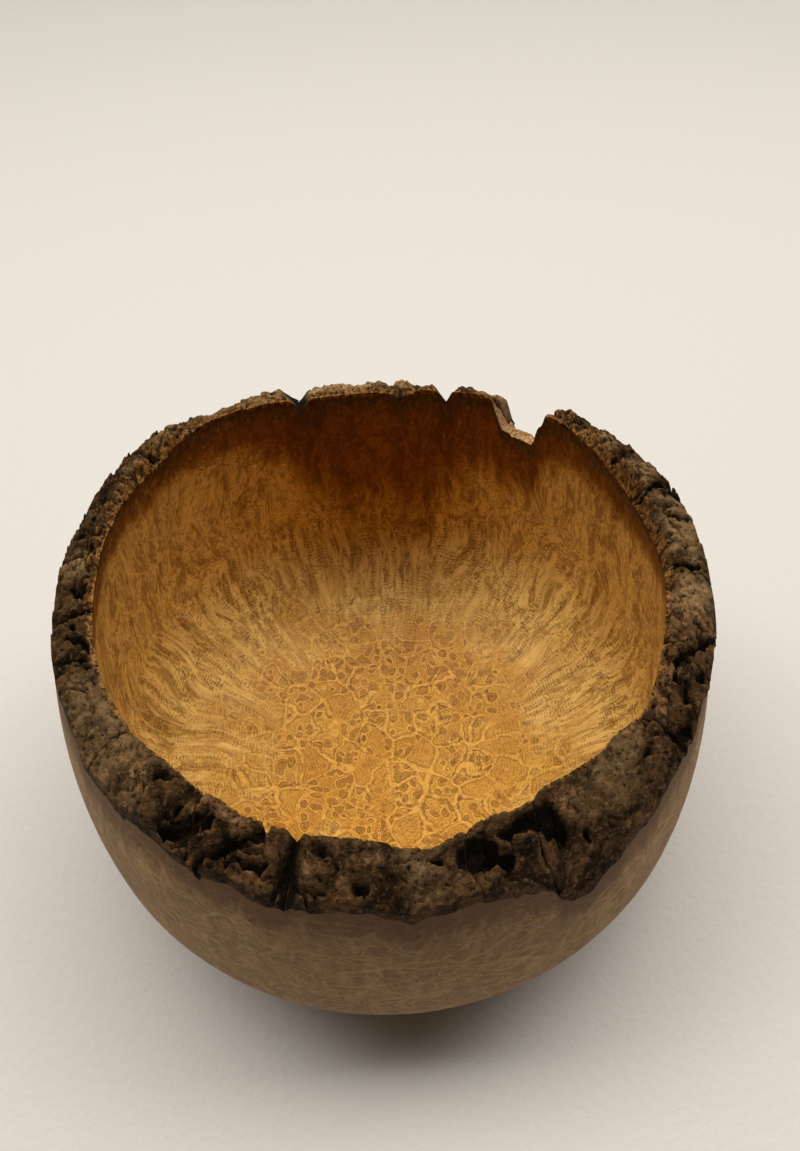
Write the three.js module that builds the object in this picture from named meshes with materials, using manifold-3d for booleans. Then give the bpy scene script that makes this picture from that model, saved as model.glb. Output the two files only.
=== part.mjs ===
// A turned burl bowl with its natural edge left on: one turned shell whose rim is the old
// outside of the burl, and the bark plates that still sit on it between the fissures.
// Millimetres, +Z up, with the middle of the flat foot at the origin. Angles are in degrees,
// from the front of the bowl (-Y) towards its right (+X).

import * as THREE from 'three';
import { mergeVertices } from 'three/addons/utils/BufferGeometryUtils.js';
import Module from 'manifold-3d';

// Turned form, outside
const foot_radius = 30;
const belly_height = 48;
const belly_radius = 83.5;
const belly_fullness = 1.65;
const rim_height = 104;

// Turned form, inside
const mouth_radius = 66;
const rim_width = 8.8;
const belly_wall = 10.5;
const floor_thickness = 11;
const floor_flatness = 2.4;

// Bark
const bark_thickness = 3.4;
const bark_seat_gap = 0.3;
const knuckle_height = 0.7;
const knuckles_around = 43;
const knuckle_drift = 2;
const drifts_around = 3;
const knuckle_slant = 4;

// Fissures between the plates
const fissure_width = 0.9;
const fissure_wander = 1.1;
const fissure_wave = 14;

// Facets
const columns = 144;
const lower_rows = 9;
const upper_rows = 4;
const rim_rows = 4;
const fissure_step = 5;

// The bark plates in their order round the rim. start and span are the angles that a plate
// covers, crest is how high its inner edge stands over the rim height, skirt is how far its
// outer edge hangs below it, and crown is how much it bulges between the two.
const plates = [
  { name: 'bark_front', start: -17, span: 28, crest: -0.8, skirt: 8.3, crown: 1.5 },
  { name: 'bark_front_gully', start: 11, span: 12, crest: 1.1, skirt: 13, crown: 0.7 },
  { name: 'bark_front_right', start: 23, span: 29, crest: 1.5, skirt: 20, crown: 1.5 },
  { name: 'bark_right_low', start: 52, span: 14, crest: -3.8, skirt: 10, crown: 0.9 },
  { name: 'bark_right', start: 66, span: 18, crest: 1.3, skirt: 9, crown: 3.8 },
  { name: 'bark_right_high', start: 84, span: 20, crest: -2.2, skirt: 2.2, crown: 6.6 },
  { name: 'bark_right_knob', start: 104, span: 18, crest: -0.5, skirt: 3, crown: 6.6 },
  { name: 'bark_back_right', start: 122, span: 10, crest: 4.1, skirt: 7.9, crown: 3.4 },
  { name: 'bark_back_broken', start: 147.5, span: 13, crest: 0.1, skirt: 12.6, crown: 0.4 },
  { name: 'bark_back_lobe', start: 160.5, span: 8, crest: -1.8, skirt: 13.5, crown: 0.5 },
  { name: 'bark_back_bud', start: 168.5, span: 6, crest: -3, skirt: 13.6, crown: 3 },
  { name: 'bark_back', start: 174.5, span: 21, crest: -3.9, skirt: 12.9, crown: 1 },
  { name: 'bark_back_left', start: 195.5, span: 29.5, crest: 3.2, skirt: 7.5, crown: 1.1 },
  { name: 'bark_left_high', start: 225, span: 30, crest: 5.2, skirt: 0.8, crown: 4.2 },
  { name: 'bark_left', start: 255, span: 21, crest: 3.2, skirt: 3.3, crown: 1.8 },
  { name: 'bark_left_low', start: 276, span: 29, crest: 0.5, skirt: 3.6, crown: 1.5 },
  { name: 'bark_front_left', start: 305, span: 21, crest: 3.2, skirt: 6.9, crown: 0.9 },
  { name: 'bark_front_spur', start: 326, span: 17, crest: 1.9, skirt: 8.2, crown: 0.5 },
];

// V-shaped clefts in bark and wood, where two lobes of the burl meet. reach is how far a cleft
// runs into the rim from the mouth, and turn is how many degrees its run turns off the radius.
// Their bottoms fall towards the outside by fall for each millimetre.
const clefts = [
  { at: 195.5, turn: -8, width: 5, depth: 4.2, reach: 30, fall: 0.9 },
  { at: 171.5, turn: 0, width: 6, depth: 5, reach: 4.5, fall: 0.4 },
  { at: 160.5, turn: 12, width: 4.6, depth: 4.6, reach: 30, fall: 0.9 },
  { at: 343, turn: 0, width: 3, depth: 4, reach: 30, fall: 0.6 },
];

// The broken notch at the back: a sloping side, a floor that rises slightly, and a steep side.
// It is measured at the mouth and falls outwards like a cleft.
const breakage = {
  at: 141.6,
  turn: 8,
  width: 17.6,
  sloping_side: 4.6,
  steep_side: 2.4,
  depth: 12.4,
  floor_rise: 0.6,
  reach: 30,
  fall: 0.7,
};

const wood = new THREE.MeshStandardMaterial({ color: '#b98644', roughness: 0.55, metalness: 0 });
const bark = new THREE.MeshStandardMaterial({ color: '#4c4038', roughness: 0.95, metalness: 0 });

const wasm = await Module();
wasm.setup();

const full_turn = 2 * Math.PI;
const radians = THREE.MathUtils.degToRad;
const mix = THREE.MathUtils.lerp;
const smooth = THREE.MathUtils.smoothstep;

// Radius of the outside at a height: a full curve from foot to belly, a shallow arc above
function outerRadius(height) {
  if (height > belly_height) {
    const rise = (height - belly_height) / (rim_height - belly_height);
    return belly_radius - (belly_radius - mouth_radius - rim_width) * rise ** 2;
  }
  const drop = 1 - height / belly_height;
  const swell = (1 - drop ** belly_fullness) ** (1 / belly_fullness);
  return foot_radius + (belly_radius - foot_radius) * swell;
}

// Radius of the inside at a height: flatter at the floor than an ellipse, drawn in at the mouth
function innerRadius(height) {
  const widest = belly_radius - belly_wall;
  if (height > belly_height) {
    const rise = (height - belly_height) / (rim_height - belly_height);
    return widest - (widest - mouth_radius) * rise ** 2;
  }
  const drop = Math.min((belly_height - height) / (belly_height - floor_thickness), 1);
  return widest * (1 - drop ** floor_flatness) ** (1 / floor_flatness);
}

// A value that every plate sets at its middle, blended smoothly from plate to plate
function alongEdge(angle, key) {
  const middles = plates.map((plate) => plate.start + plate.span / 2);
  const turned = THREE.MathUtils.euclideanModulo(angle - middles[0], 360) + middles[0];
  let index = plates.length - 1;
  while (middles[index] > turned) {
    index -= 1;
  }
  const next = (index + 1) % plates.length;
  const reach = THREE.MathUtils.euclideanModulo(middles[next] - middles[index], 360);
  const blend = smooth((turned - middles[index]) / reach, 0, 1);
  return mix(plates[index][key], plates[next][key], blend);
}

// Height of the wood under the bark: across is 0 at the inner wall and 1 at the outer wall
function woodEdge(angle, across) {
  const inner = rim_height + alongEdge(angle, 'crest') - bark_thickness;
  const outer = rim_height - alongEdge(angle, 'skirt');
  return mix(inner, outer, across);
}

// Height of the bark's own surface: crowned across its width, with knuckles along it
function barkTop(angle, across) {
  const crown = alongEdge(angle, 'crown') * Math.sin(Math.PI * across);
  const turn = radians(angle);
  const drift = knuckle_drift * Math.sin(drifts_around * turn);
  const knuckles = Math.sin(knuckles_around * turn + drift + knuckle_slant * across);
  return woodEdge(angle, across) + bark_thickness + crown + knuckle_height * knuckles;
}

function radiusAcross(height, across) {
  return mix(innerRadius(height), outerRadius(height), across);
}

// A closed solid from a geometry, with shared vertices merged and collapsed triangles left out
function solidFrom(geometry) {
  geometry.deleteAttribute('normal');
  geometry.deleteAttribute('uv');
  const merged = mergeVertices(geometry);
  const corners = merged.index.array;
  const triangles = [];
  for (let first = 0; first < corners.length; first += 3) {
    const [a, b, c] = corners.slice(first, first + 3);
    if (a !== b && b !== c && c !== a) {
      triangles.push(a, b, c);
    }
  }
  const mesh = new wasm.Mesh({
    numProp: 3,
    vertProperties: merged.attributes.position.array,
    triVerts: new Uint32Array(triangles),
  });
  return new wasm.Manifold(mesh);
}

function geometryFrom(solid) {
  const mesh = solid.getMesh();
  const geometry = new THREE.BufferGeometry();
  geometry.setAttribute('position', new THREE.BufferAttribute(mesh.vertProperties, 3));
  geometry.setIndex(new THREE.BufferAttribute(mesh.triVerts, 1));
  geometry.computeVertexNormals();
  return geometry;
}

// A revolved solid whose every row may rise and fall with the angle. Each row is a function
// from the angle to a point { radius, height }, in order anticlockwise round the section.
function revolveRows(rows) {
  const profile = rows.map((row) => {
    const point = row(0);
    return new THREE.Vector2(point.radius, point.height);
  });
  const geometry = new THREE.LatheGeometry(profile, columns);
  const position = geometry.attributes.position;
  for (let index = 0; index < position.count; index += 1) {
    const column = Math.floor(index / rows.length) % columns;
    const angle = (360 * column) / columns;
    const { radius, height } = rows[index % rows.length](angle);
    const turn = radians(angle);
    position.setXYZ(index, radius * Math.sin(turn), -radius * Math.cos(turn), height);
  }
  return solidFrom(geometry);
}

// Rows up one wall: even steps round the curve below the belly, then even steps to the edge
function wallRows(radiusAt, lowest, edge) {
  const rows = [];
  for (let step = 0; step < lower_rows; step += 1) {
    const swing = ((Math.PI / 2) * step) / lower_rows;
    const height = mix(lowest, belly_height, 1 - Math.cos(swing));
    rows.push(() => ({ radius: radiusAt(height), height }));
  }
  for (let step = 0; step <= upper_rows; step += 1) {
    rows.push((angle) => {
      const height = mix(belly_height, edge(angle), step / upper_rows);
      return { radius: radiusAt(height), height };
    });
  }
  return rows;
}

// Rows across the rim, without the two that already end the walls
function rimRows(surface) {
  const rows = [];
  for (let step = 1; step < rim_rows; step += 1) {
    const across = step / rim_rows;
    rows.push((angle) => {
      const height = surface(angle, across);
      return { radius: radiusAcross(height, across), height };
    });
  }
  return rows;
}

// The turned shell: foot, outer wall, rim of bare wood under the bark, inner wall and floor
function turnedShell() {
  const outer = wallRows(outerRadius, 0, (angle) => woodEdge(angle, 1));
  const inner = wallRows(innerRadius, floor_thickness, (angle) => woodEdge(angle, 0));
  const foot = () => ({ radius: 0, height: 0 });
  return revolveRows([foot, ...outer, ...rimRows(woodEdge).reverse(), ...inner.reverse()]);
}

// The whole ring of bark before it splits, seated on the wood with a small gap
function barkRing() {
  const seat = (angle, across) => woodEdge(angle, across) + bark_seat_gap;
  const corner = (surface, across) => (angle) => {
    const height = surface(angle, across);
    return { radius: radiusAcross(height, across), height };
  };
  const under = [corner(seat, 0), ...rimRows(seat), corner(seat, 1)];
  const over = [corner(barkTop, 0), ...rimRows(barkTop), corner(barkTop, 1)];
  return revolveRows([...under, ...over.reverse(), under[0]]);
}

// How far a fissure strays sideways at a radius. One that lies in a cleft keeps to its run.
function wanderAt(angle, radius) {
  const turned = THREE.MathUtils.euclideanModulo(angle, 360);
  const cleft = clefts.find((one) => one.at === turned);
  if (cleft) {
    return (radius - mouth_radius) * Math.tan(radians(cleft.turn));
  }
  return fissure_wander * Math.sin((full_turn * radius) / fissure_wave + angle);
}

// One point of a fissure in plan, seen from above. side is 1 or -1 for its two banks.
function fissurePoint(angle, radius, side) {
  const wander = wanderAt(angle, radius);
  const turn = radians(angle) + (wander + (side * fissure_width) / 2) / radius;
  return new THREE.Vector2(radius * Math.sin(turn), -radius * Math.cos(turn));
}

// The sector of the rim that one plate covers, between the near banks of its two fissures
function plateSector(plate) {
  const inside = mouth_radius - 2 * fissure_step;
  const outside = belly_radius + 2 * fissure_step;
  const first_bank = [];
  const last_bank = [];
  for (let radius = inside; radius <= outside; radius += fissure_step) {
    first_bank.push(fissurePoint(plate.start, radius, 1));
    last_bank.push(fissurePoint(plate.start + plate.span, radius, -1));
  }
  const outline = new THREE.Shape([...first_bank, ...last_bank.reverse()]);
  const geometry = new THREE.ExtrudeGeometry(outline, { depth: rim_height, bevelEnabled: false });
  geometry.translate(0, 0, belly_height);
  return solidFrom(geometry);
}

// A cutter that runs outward from inside the mouth and falls as it goes. Its outline is drawn
// in width and height, as they are at the mouth.
function radialCutter(outline, cut) {
  const inside = mouth_radius / 2;
  const length = inside + cut.reach;
  const geometry = new THREE.ExtrudeGeometry(outline, { depth: length, bevelEnabled: false });
  geometry.rotateX(Math.PI / 2);
  geometry.translate(0, mouth_radius - inside, 0);
  geometry.applyMatrix4(new THREE.Matrix4().makeShear(0, 0, 0, cut.fall, 0, 0));
  geometry.rotateZ(radians(cut.turn));
  geometry.translate(0, -mouth_radius, 0);
  geometry.rotateZ(radians(cut.at));
  return solidFrom(geometry);
}

// A V with its point down, whose depth is measured from the crest of the bark
function cleftCutter(cleft) {
  const top = rim_height + alongEdge(cleft.at, 'crest');
  const bottom = top - cleft.depth;
  const flare = 1 + (2 * bark_thickness) / cleft.depth;
  const lip = bottom + cleft.depth * flare;
  const half = (cleft.width / 2) * flare;
  const outline = new THREE.Shape([
    new THREE.Vector2(0, bottom),
    new THREE.Vector2(half, lip),
    new THREE.Vector2(-half, lip),
  ]);
  return radialCutter(outline, cleft);
}

// The broken notch, open above
function breakageCutter() {
  const top = rim_height + alongEdge(breakage.at, 'crest');
  const bottom = top - breakage.depth;
  const open = top + breakage.depth;
  const half = breakage.width / 2;
  const outline = new THREE.Shape([
    new THREE.Vector2(-half, open),
    new THREE.Vector2(-half, top),
    new THREE.Vector2(breakage.sloping_side - half, bottom),
    new THREE.Vector2(half - breakage.steep_side, bottom + breakage.floor_rise),
    new THREE.Vector2(half, top),
    new THREE.Vector2(half, open),
  ]);
  return radialCutter(outline, breakage);
}

function addPiece(group, name, solid, material) {
  const mesh = new THREE.Mesh(geometryFrom(solid), material);
  mesh.name = name;
  group.add(mesh);
}

const bowl = new THREE.Group();
const cutters = [...clefts.map(cleftCutter), breakageCutter()];
const cutAway = (solid) => cutters.reduce((left, cutter) => left.subtract(cutter), solid);

addPiece(bowl, 'bowl_body', cutAway(turnedShell()), wood);
const ring = cutAway(barkRing());
for (const plate of plates) {
  addPiece(bowl, plate.name, ring.intersect(plateSector(plate)), bark);
}

export default bowl;
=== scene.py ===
# A natural edge bowl turned from a burl, dressed for the picture: the turned wood, the bark
# plates on its rim, and the paper, light and camera round it.
# Shapes are worked out in millimetres and handed to Blender in metres. Angles are in degrees
# from the front of the bowl (-Y) towards its right (+X). Across is 0 at the inner wall and 1
# at the outer wall.

import itertools
import math

import bpy
import numpy as np
from mathutils import Matrix, Vector


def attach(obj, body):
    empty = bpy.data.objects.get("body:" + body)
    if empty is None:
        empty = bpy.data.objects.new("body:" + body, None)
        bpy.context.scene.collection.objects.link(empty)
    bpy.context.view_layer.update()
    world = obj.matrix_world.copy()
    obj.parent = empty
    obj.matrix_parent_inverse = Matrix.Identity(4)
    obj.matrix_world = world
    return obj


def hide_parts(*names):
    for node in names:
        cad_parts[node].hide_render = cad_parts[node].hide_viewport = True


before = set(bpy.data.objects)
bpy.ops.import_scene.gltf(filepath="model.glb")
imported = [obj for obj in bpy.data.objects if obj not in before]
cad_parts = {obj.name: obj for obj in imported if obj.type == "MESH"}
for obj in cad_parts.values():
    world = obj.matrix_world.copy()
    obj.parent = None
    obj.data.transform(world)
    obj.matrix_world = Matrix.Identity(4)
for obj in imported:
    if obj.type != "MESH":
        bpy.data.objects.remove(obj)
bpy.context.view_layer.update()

bl_info = {
    "name": "Natural edge bowl",
    "version": (1, 0, 0),
    "blender": (4, 5, 0),
    "location": "3D View > Sidebar > Bowl",
    "description": "Turned burl bowl with bark plates on its natural edge",
    "category": "Add Mesh",
}

MM = 0.001

# The natural edge as (angle, height over the rim plane). The inner edge is the top of the bark
# at the inner wall, the outer edge is the top of the wood at the outer wall.
INNER_EDGE = (
    (-175, -3.4), (-168, -2.6), (-161, -1.2), (-158, 0.4), (-151.7, 2.2), (-144.5, 4.2),
    (-134, 6.2), (-127.7, 3.8), (-119, 3.6), (-109, 5.4), (-101, 5), (-95, 3.4), (-90, 1.6),
    (-82, 0.4), (-74, 0.8), (-64, 1.6), (-52, 2), (-44, 3.7), (-38, 2.9), (-33, 2.9), (-27, 1.4),
    (-22, 1.3), (-19, 1), (-9, 1.7), (-3, 0.2), (1, -2.4), (5, -3.4), (10, -0.4), (15, 2.1),
    (22, 0.6), (25, 3.2), (34, 1.7), (40, 0.2), (44, 0.9), (54, -5), (62, -2.5), (71, 2.1),
    (80, -1.2), (83, 0.4), (94, -2), (101, -2.4), (109, -1.4), (117.5, 1.3), (122.5, 3),
    (128.5, 3.8), (133, 2.9), (148.5, 0.4), (152, 0.4), (157.5, -0.6), (161.8, -1.4),
    (167.8, -2.4), (173.8, -3.2), (178, -3.4),
)
OUTER_EDGE = (
    (-93, -3.6), (-87, -5.6), (-81, -4.8), (-74, -3.9), (-69, -3.7), (-61, -3), (-57, -8),
    (-48, -6.5), (-37, -6), (-32, -8.6), (-26, -7.4), (-21, -9), (-15, -8.5), (-9, -7.2),
    (-3, -8.8), (1, -11.3), (6, -8.7), (11, -9.5), (16, -9.5), (22, -15), (25, -23),
    (28, -23.5), (31, -22), (36, -18), (46, -14.5), (53, -12.8), (56, -11), (61, -10),
    (76, -9), (85, -6), (93, -3.4), (103, -2.4), (110, -3.6), (116, -4.6), (122.5, -5),
    (129.5, -8.6), (134, -11), (143, -13), (147, -13.4), (154.5, -11.7), (161.8, -13.2),
    (169.8, -14.4), (175.8, -12.8), (184, -12.6), (193, -12.6), (199, -9.4), (206.3, -8.2),
    (214.8, -7.4), (222.3, -5), (229.6, -1), (239, -1.2), (245, -1.8), (251, -3),
    (258, -3),
)

# How high the bark is domed between its edges, as (angle, height)
CROWN = (
    (-131, 3.6), (-116, 4.6), (-107, 2.8), (-90, 1.6), (-60, 1.4), (-45, 1), (-33, 0.4),
    (-10, 1.2), (0, 1.6), (20, 0.6), (30, 1), (44, 1.8), (58, 0.6), (75, 3.6), (95, 4.8),
    (106, 5.4), (118, 4.6), (125, 4), (131, 2.6), (147, 0.4), (162, 0.4), (176, 1), (190, 1),
    (206, 1.2), (217, 1.2),
)

# The plates in the order of the rim, as (node, first angle, span)
PLATES = (
    ("bark_front", -17, 28), ("bark_front_gully", 11, 12), ("bark_front_right", 23, 29),
    ("bark_right_low", 52, 14), ("bark_right", 66, 18), ("bark_right_high", 84, 20),
    ("bark_right_knob", 104, 18), ("bark_back_right", 122, 12.2), ("bark_back_broken", 147.5, 13),
    ("bark_back_lobe", 160.5, 8), ("bark_back_bud", 168.5, 6), ("bark_back", 174.5, 21),
    ("bark_back_left", 195.5, 29.5), ("bark_left_high", 225, 30), ("bark_left", 255, 21),
    ("bark_left_low", 276, 29), ("bark_front_left", 305, 21), ("bark_front_spur", 326, 17),
)

# Clefts as (angle, half width, depth, how far across they reach, fall outwards for each mm,
# degrees that their run turns off the radius)
CLEFTS = (
    (195.5, 3, 4, 1.2, 0.55, -8), (171.5, 3.2, 4.6, 1.2, -0.8, 0),
    (160.5, 2.4, 5, 1.2, 0.9, 12), (-17, 1.6, 2.8, 1.2, 0.6, 0),
)

# The broken notch as (angle, height over the rim plane at the inner wall, fall outwards for
# each mm), from its right side to its left, and the degrees that its run turns off the radius
NOTCH = (
    (132.4, 9, 0), (134.2, 2.5, 0.2), (135.2, -1.5, 0.4), (136.6, -5, 0.6),
    (137.4, -9, 0.7), (138, -12, 0.7), (138.8, -13.4, 0.72), (141, -13, 0.72),
    (143.5, -12.8, 0.68), (145.6, -12.4, 0.6), (146.6, -11.4, 0.5), (147.4, -7.5, 0.4),
    (148.2, -3, 0.3), (149.2, 2, 0.2), (150.2, 9, 0),
)
NOTCH_TURN = 6

# How far the outer edge of the bark stands out from the wood, as (angle, distance)
OVERHANG = (
    (-100, 0.6), (-60, 0.3), (0, 0.3), (40, 0.2), (60, 0.9), (75, 1.7), (95, 1.8), (110, 1.2),
    (130, 0.5), (180, 0.5), (235, 1), (250, 1),
)

# Pits in the bark as (angle, across, half length along, half length across, depth)
HOLLOWS = (
    (12, 0.42, 4.4, 3.4, 5.4), (16, 0.62, 2.2, 1.6, 4.4), (20, 0.24, 6, 1.7, 4.8),
    (25.5, 0.32, 2.8, 2.2, 4.6), (21, 0.44, 2.2, 0.9, 3.6), (5.8, 0.3, 1.6, 1.2, 4.4),
    (30.5, 0.6, 0.8, 1.4, 4), (-12, 0.28, 2.6, 1.7, 2.4), (-13, 0.84, 2.6, 0.7, 3),
    (-6, 0.73, 1.7, 1.2, 3), (-10, 0.5, 0.9, 0.9, 3), (-5, 0.32, 1.8, 1.3, 1.8),
    (0.2, 0.6, 0.5, 0.5, 1.6), (9, 0.62, 0.6, 0.5, 1.6), (0.5, 0.88, 0.9, 0.4, 1.8),
    (-26, 0.8, 1, 0.9, 3.5), (-22.4, 0.68, 1.5, 0.9, 3.5), (-37.6, 0.42, 0.8, 1.5, 3.2),
    (44, 0.5, 1.8, 0.5, 1.6), (47, 0.52, 1.6, 1.1, 2), (38, 0.38, 1.2, 0.7, 1.2),
    (43.6, 0.37, 0.9, 0.4, 1.8), (36, 0.55, 0.7, 0.5, 1.2), (57.8, 0.27, 0.8, 1.2, 3.6),
    (55.8, 0.1, 0.8, 1, 2.4), (52.2, 0.16, 0.6, 0.5, 1.8), (59, 0.72, 1.2, 1.2, 3.8),
    (55, 0.85, 2.4, 1.7, 3.2), (64, 0.85, 1.5, 1.1, 2.2), (61.5, 0.38, 1.4, 0.7, 2.6),
    (65, 0.12, 0.7, 0.8, 2.2), (68.4, 0.6, 0.8, 0.6, 2.2), (72.7, 0.8, 1, 1.3, 4),
    (73, 0.66, 1.6, 0.5, 2.2), (77, 0.3, 0.6, 0.9, 1.8), (90, 0.3, 1, 1.3, 2.2),
    (97, 0.55, 1.2, 1.6, 2.6), (-76.4, 0.25, 1.4, 1.3, 4), (-71.2, 0.22, 0.9, 0.9, 2.8),
    (-80.8, 0.5, 1, 1, 2.8), (-75, 0.5, 0.5, 1, 2.4), (-89, 0.4, 1.4, 1.7, 3),
    (-96, 0.55, 0.5, 2.2, 3), (-46, 0.72, 0.8, 0.5, 2.2), (-47.5, 0.45, 0.8, 0.6, 2),
    (-99, 0.35, 1, 0.9, 2.4),
)

# Raised lumps as (angle, across, half length along, half length across, height)
MOUNDS = (
    (-12.5, 0.66, 3, 1.4, 1.5), (3, 0.45, 6, 4.5, 1.4), (21, 0.56, 4.6, 1.3, 2.2),
    (40, 0.4, 8, 4.5, 1.2), (-50, 0.3, 4, 3, 1.2), (-44, 0.2, 3, 2, 1),
    (-86, 0.2, 1.8, 2.2, 1.8), (-94, 0.3, 2.4, 2.6, 1.6), (-57, 0.3, 5, 4, 0.8),
    (72, 0.42, 5, 4.5, 1.2), (65.5, 0.7, 4, 2.8, 1.6), (171.6, 0.72, 2.6, 2.8, 2.4),
    (131.5, 0.45, 2.6, 3.6, 1.8), (92, 0.55, 5, 4.5, 0.8), (107, 0.55, 5, 5, 1),
    (120, 0.55, 4, 4, 1), (129, 0.5, 3, 4, 0.8), (165, 0.6, 3.4, 4, 0.9),
)

# Narrow crevices as (angle, across, angle, across, half width, depth)
CREVICES = (
    (-38, 0.88, -31.5, 0.28, 1.2, 5), (-31, 0.9, -24, 0.27, 1.2, 4.8),
    (-35.5, 0.92, -33, 0.62, 0.5, 2.6), (-28.8, 0.95, -25, 0.68, 0.5, 2.6),
    (-38.5, 0.7, -32.3, 0.2, 0.6, 3), (-26.6, 0.86, -24.6, 0.7, 0.7, 3.6),
    (-24, 0.76, -20.8, 0.56, 0.8, 3.8), (-25.5, 0.6, -22, 0.42, 0.5, 2.4),
    (-30, 0.38, -27.6, 0.3, 0.4, 2), (-24.4, 0.32, -22, 0.05, 1.1, 3),
    (-18.6, 1, -17.4, 0.45, 0.5, 2.8), (-14.2, 0.97, -16.8, 0.6, 0.5, 3.2),
    (-21.5, 0.78, -18.5, 0.7, 0.35, 1.6), (15, 0.84, 24, 0.97, 0.45, 2.8),
    (64, 0.3, 72, 1, 0.8, 3.8), (53, 0.62, 52.6, 1, 0.9, 3.2), (67, 0.02, 68, 0.6, 0.4, 2),
    (60.2, 0.7, 60.8, 0.4, 0.5, 2.8), (84, 0.1, 84.5, 0.95, 0.5, 3.4),
    (94, 0.15, 95, 0.9, 0.5, 2.4), (103.6, 0.1, 103, 0.95, 0.7, 3.4),
    (114, 0.15, 114, 0.9, 0.7, 3), (127, 0.2, 126, 0.9, 0.6, 2.6),
    (-46, 0.6, -46.8, 0.42, 0.35, 1.8), (-46.5, 0.42, -43, 0.2, 0.4, 2.4),
    (-43, 0.34, -40, 0.1, 0.7, 2.8), (-67.4, 0.76, -66, 0.5, 0.6, 2.6),
    (-60, 0.96, -57, 0.55, 0.3, 1.2), (-73, 0.2, -75, 0.95, 0.6, 2.4),
    (-79, 0.65, -77.6, 0.15, 0.8, 3), (-84.4, 0.2, -84.8, 0.95, 0.8, 3),
    (-90, 0.25, -90.4, 0.75, 0.7, 2.8), (-97, 0.15, -96, 0.95, 0.6, 2.8),
    (-103, 0.1, -104, 0.95, 0.7, 3), (-110, 0.15, -109, 0.95, 0.6, 2.8),
    (-117, 0.1, -118, 0.95, 0.7, 3), (-124, 0.15, -123, 0.95, 0.6, 2.6),
    (-131, 0.15, -132, 0.95, 0.6, 2.6), (-140, 0.15, -139, 0.95, 0.5, 2.2),
    (-148, 0.15, -149, 0.95, 0.5, 2), (186, 0.15, 185, 0.8, 0.4, 1.6),
    (151.5, 0.2, 152, 0.9, 0.4, 1.4),
)

# Tinted patches of the bark as (angle, across, half span in degrees, half across, strength):
# where it has bleached, and where its inner layers are laid open
WEATHERED = (
    (184, 0.75, 10, 0.6, 1), (171.4, 0.8, 3.4, 0.5, 0.9), (203, 0.7, 6, 0.8, 0.6),
    (152, 0.8, 5, 0.45, 0.8), (164, 0.95, 5, 0.35, 0.7), (92, 0.5, 9, 0.7, 0.5),
    (107, 0.3, 4, 0.5, 0.6), (119, 0.4, 4, 0.4, 0.5), (78, 0.5, 6, 0.6, 0.6),
    (-94, 0.35, 4, 0.6, 0.5), (-57, 0.4, 14, 0.9, 0.3), (-50, 0.3, 6, 0.4, 0.3),
    (40, 0.3, 9, 0.4, 0.3), (4, 0.4, 5, 0.5, 0.25), (215, 0.7, 8, 0.6, 0.6),
    (228, 0.4, 7, 0.4, 0.5), (-120, 0.3, 6, 0.4, 0.35),
)
REDDENED = (
    (57, 0.2, 7, 0.32, 0.9), (65, 0.15, 6, 0.25, 0.9), (72, 0.35, 5, 0.5, 0.75),
    (73, 0.75, 2.6, 0.3, 0.7), (79, 0.2, 6, 0.3, 0.5), (-47, 0.5, 4, 0.2, 0.6),
    (-34, 0.3, 4, 0.35, 0.8), (-28, 0.15, 6, 0.15, 0.7), (-12.5, 0.66, 3.5, 0.25, 0.5),
    (-5, 0.3, 3, 0.25, 0.5), (29, 0.2, 3, 0.15, 0.7), (11, 0.04, 3, 0.07, 0.6),
    (46, 0.06, 3, 0.08, 0.8), (-87, 0.12, 3, 0.2, 0.8), (125, 0.1, 6, 0.15, 0.5),
    (100, 0.1, 8, 0.12, 0.5), (-20, 0.9, 5, 0.15, 0.3), (112, 0.2, 4, 0.3, 0.4),
)

# How gradually the wood of the inner wall turns into bark, as (angle, millimetres). At the
# front the lathe cut a clean edge.
SOFT_EDGE = (
    (-130, 6.5), (-100, 5), (-72, 2.6), (-58, 1.4), (-45, 0.5), (0, 0.3), (48, 0.4), (62, 1.6),
    (85, 3.5), (110, 5), (125, 6), (150, 5), (185, 5.5), (215, 6.5),
)

# Dark stain in the wood of the inner wall as (angle, half span in degrees, millimetres that it
# reaches below the edge)
STAINED = (
    (195, 9, 20), (171.5, 6, 13), (160.5, 6, 14), (166, 16, 9), (141.5, 12, 9),
    (152, 8, 9), (132, 7, 11), (121, 8, 10), (184, 14, 9), (208, 14, 8), (228, 16, 8),
    (108, 14, 7), (92, 12, 4.5), (252, 20, 5), (282, 14, 3),
)

# How far below the edge the wood is darker and redder, as (angle, millimetres). From about 148 to
# 200 degrees it reaches far down the inner wall as painted shade: the shadow of the back rim on
# the back wall.
REDDER_AND_SHADE = (
    (-150, 22), (-130, 16), (-100, 12), (0, 12), (90, 14), (125, 22), (148, 38), (158, 56),
    (168, 76), (184, 78), (192, 60), (200, 40),
)

# How deeply the bark is furrowed across, as (angle, strength)
FURROWED = (
    (-110, 1), (-75, 0.8), (-55, 0.4), (-45, 0.2), (0, 0.1), (30, 0.1), (50, 0.4), (70, 0.6),
    (90, 0.9), (120, 1), (150, 0.4), (185, 0.4), (210, 0.8), (235, 1),
)

# How rough the bark is, as (angle, share)
ROUGH = (
    (0, 1), (24, 0.9), (44, 0.5), (60, 1), (90, 0.8), (120, 1), (148, 0.5), (178, 0.45),
    (203, 0.6), (230, 1), (272, 0.9), (290, 0.6), (312, 0.6), (325, 1), (340, 1),
)

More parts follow.
